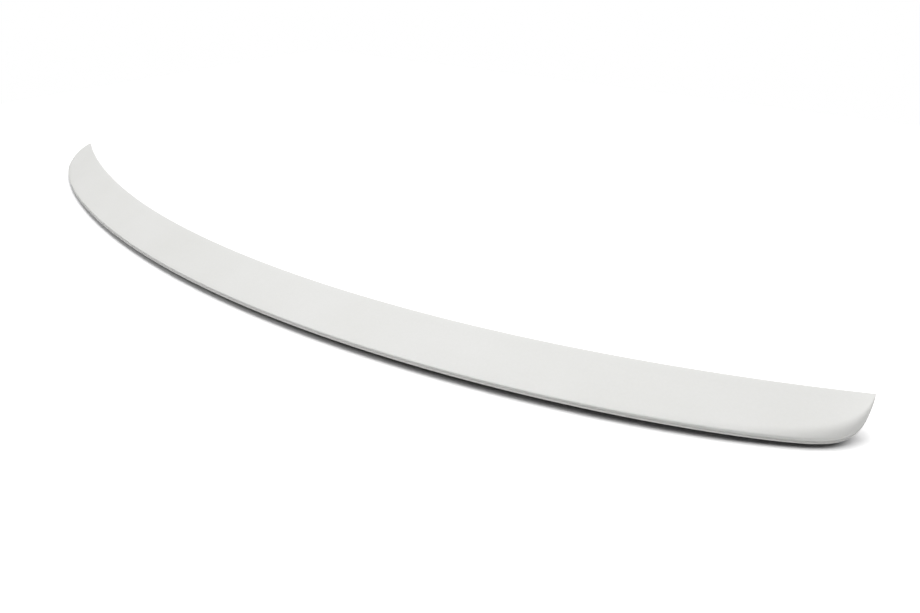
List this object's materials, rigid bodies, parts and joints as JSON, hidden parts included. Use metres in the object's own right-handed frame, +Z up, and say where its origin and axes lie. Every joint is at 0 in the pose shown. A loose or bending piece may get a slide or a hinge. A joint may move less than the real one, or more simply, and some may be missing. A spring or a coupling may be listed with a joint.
{
  "type": "car boot lip spoiler",
  "caption": "Long bowed boot lip spoiler with a thin leading edge, a creased trailing edge with a low rim, and pointed ends, primed for painting.",
  "frame": {"origin": "on the floor it lies on, midway along its length and midway between the line of the tips and the middle of the trailing edge", "axes": "+X along its length, -Y towards the trailing edge, +Z up as it lies at rest on its heel with the leading edge raised"},
  "size_m": [1.2005, 0.181, 0.03],
  "materials": {
    "primed_polyurethane": "sprayed pale grey primer over moulded polyurethane, even and satin-matt"
  },
  "bodies": {
    "root": {"lip_spoiler": "primed_polyurethane"}
  },
  "joints": []
}
